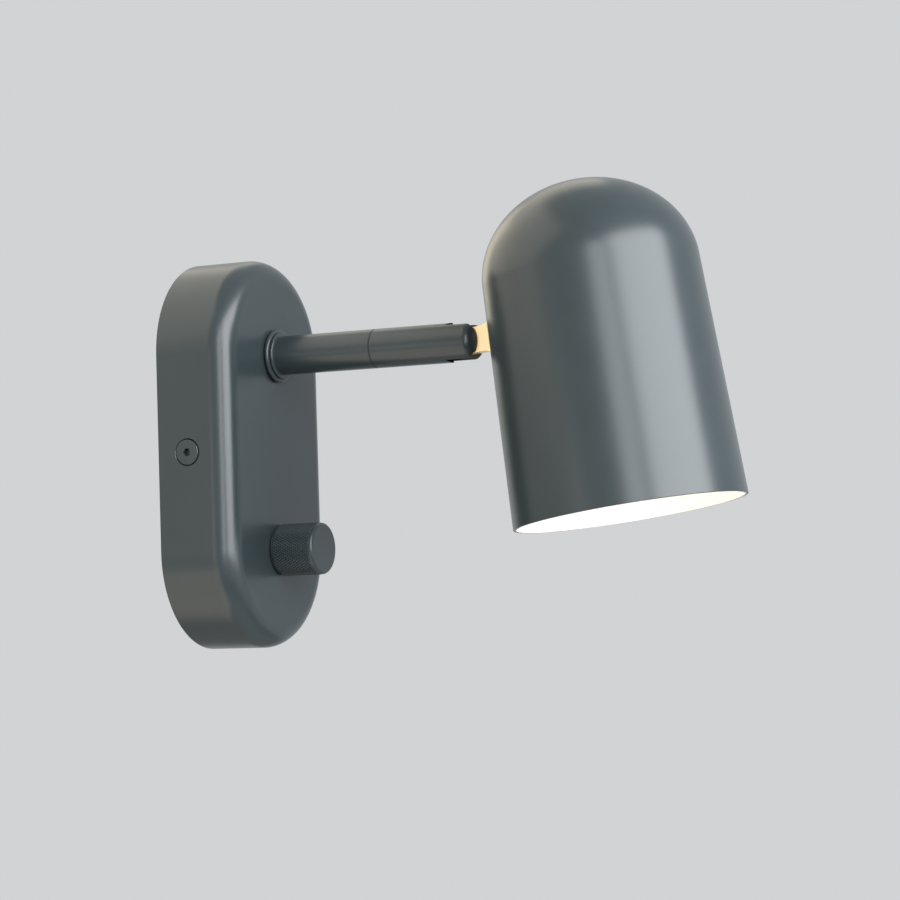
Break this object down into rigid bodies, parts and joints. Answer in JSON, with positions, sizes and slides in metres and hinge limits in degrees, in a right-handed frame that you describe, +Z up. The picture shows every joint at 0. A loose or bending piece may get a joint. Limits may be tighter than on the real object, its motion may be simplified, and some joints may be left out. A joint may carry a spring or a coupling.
{
  "type": "adjustable wall reading lamp",
  "caption": "Wall reading lamp: pill-shaped housing with a dimmer knob, a short swivelling arm, and a domed open-bottom shade that tilts on a brass knuckle.",
  "frame": {"origin": "Middle of the wall bracket's back face, on the wall plane.", "axes": "+Y points into the wall, so the lamp reaches out along -Y. +Z is up. +X is to the right of a person facing the wall."},
  "size_m": [0.092, 0.2341, 0.1803],
  "materials": {
    "slate_paint": "satin",
    "zinc_steel": "plated, fine grain",
    "brass": "satin turned",
    "black_rubber": "matte",
    "clear_block": "matte",
    "black_plastic": "matte",
    "nylon": "matte",
    "opal_bulb": "smooth opal",
    "bulb_base": "matte",
    "board": "white solder mask",
    "white_lead": "matte",
    "earth_lead": "green with yellow"
  },
  "bodies": {
    "wall": {"wall_bracket": "zinc_steel", "tab_nuts": "zinc_steel", "cable_grommet": "black_rubber", "earth_screw": "brass", "terminal_block": "clear_block", "terminal_screws": "brass", "block_screw": "zinc_steel", "housing": "slate_paint", "side_screws": "slate_paint", "dimmer_case": "black_plastic", "dimmer_washer": "zinc_steel", "dimmer_nut": "zinc_steel", "dimmer_leads": "white_lead", "earth_lead": "earth_lead", "arm_collar": "slate_paint", "inner_arm": "slate_paint", "arm_washer": "zinc_steel", "arm_nut": "brass", "swivel_spindle": "brass", "swivel_washer": "black_plastic", "stop_pin": "zinc_steel", "arm_leads": "white_lead"},
    "outer_arm": {"outer_arm": "slate_paint", "swivel_ring": "zinc_steel", "hinge_screw": "zinc_steel", "hinge_washers": "nylon", "joint_leads": "white_lead"},
    "shade": {"knuckle": "brass", "shade": "slate_paint", "saddle_washer": "nylon", "holder_bracket": "zinc_steel", "stud_nut": "brass", "shade_leads": "white_lead", "holder_nipple": "zinc_steel", "holder_nut": "zinc_steel", "holder_cap": "black_plastic", "holder_skirt": "black_plastic", "holder_shell": "brass", "holder_contact": "brass", "bulb_globe": "opal_bulb", "bulb_collar": "bulb_base", "bulb_cap": "zinc_steel", "bulb_insulator": "black_plastic", "bulb_tip": "zinc_steel", "led_board": "board"},
    "knob": {"dimmer_shaft": "zinc_steel", "knob": "slate_paint"}
  },
  "joints": [
    {"name": "arm_swivel", "type": "hinge", "parent": "wall", "child": "outer_arm", "pos_m": [0, -0.0805, 0.04], "axis": [0, -1, 0], "range_deg": [-160, 160]},
    {"name": "shade_tilt", "type": "hinge", "parent": "outer_arm", "child": "shade", "pos_m": [0, -0.118, 0.04], "axis": [1, 0, 0], "range_deg": [-66, 78], "deforming": ["joint_leads"]},
    {"name": "knob_turn", "type": "hinge", "parent": "wall", "child": "knob", "pos_m": [0, -0.033, -0.04], "axis": [0, -1, 0], "range_deg": [0, 280]}
  ]
}
